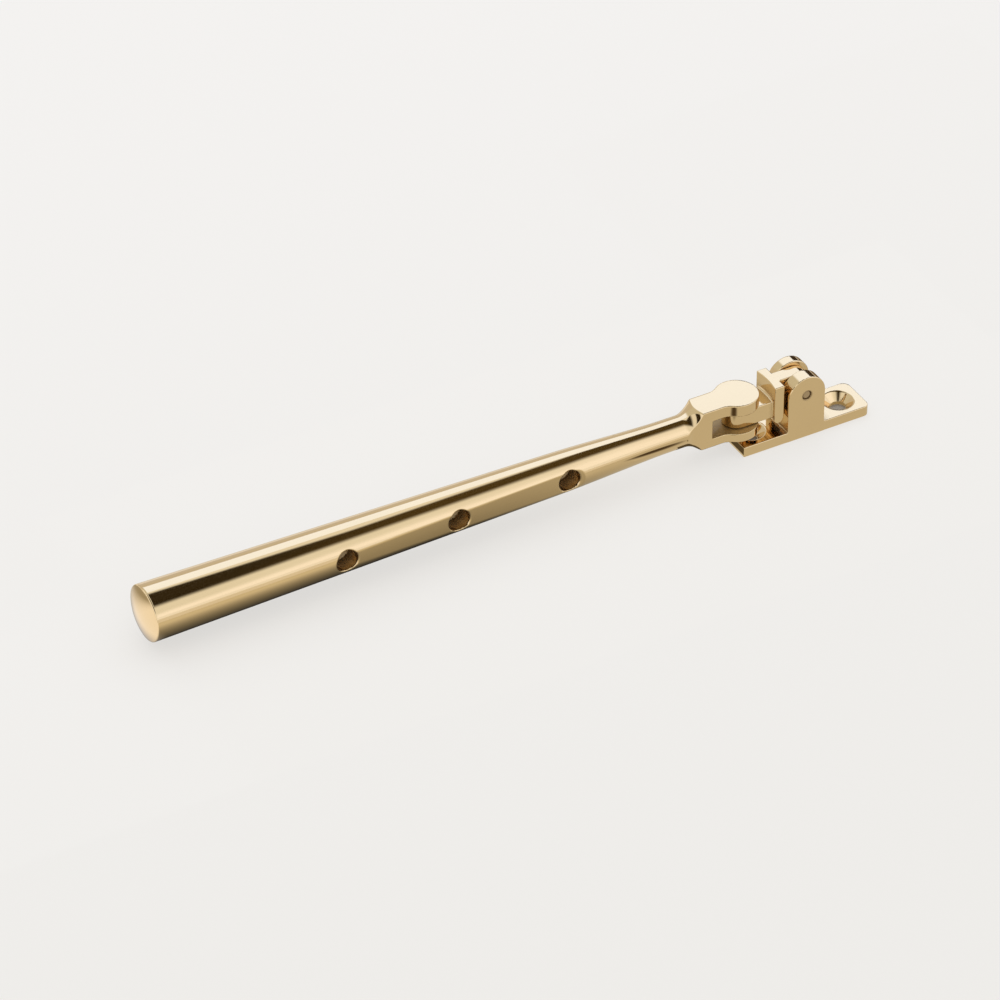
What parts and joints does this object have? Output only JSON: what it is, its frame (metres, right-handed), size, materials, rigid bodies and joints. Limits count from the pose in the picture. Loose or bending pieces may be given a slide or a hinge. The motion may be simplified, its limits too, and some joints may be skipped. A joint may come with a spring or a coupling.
{
  "type": "casement stay",
  "caption": "Polished brass casement stay: a tapered round bar with peg holes, forked on a knuckle that turns between the ears of a screw-fixed plate.",
  "frame": {"origin": "on the fixing plate's underside, straight below the hinge pin", "axes": "+Z out of the plate's face, the bar runs along -X from the plate, and the peg holes open towards -Y"},
  "size_m": [0.224, 0.0162, 0.02],
  "materials": {
    "polished_brass": "polished and lacquered",
    "pin_brass": "plain drawn"
  },
  "bodies": {
    "base": {"fixing_plate": "polished_brass", "hinge_pin": "pin_brass"},
    "link": {"knuckle": "polished_brass"},
    "arm": {"stay_arm": "polished_brass", "pivot_pin": "pin_brass"}
  },
  "joints": [
    {"name": "plate_hinge", "type": "hinge", "parent": "base", "child": "link", "pos_m": [0, 0, 0.0141], "axis": [0, 1, 0], "range_deg": [-4, 180]},
    {"name": "fork_pivot", "type": "hinge", "parent": "link", "child": "arm", "pos_m": [-0.019, 0, 0.0111], "axis": [0, 0, 1], "range_deg": [-90, 90]}
  ]
}
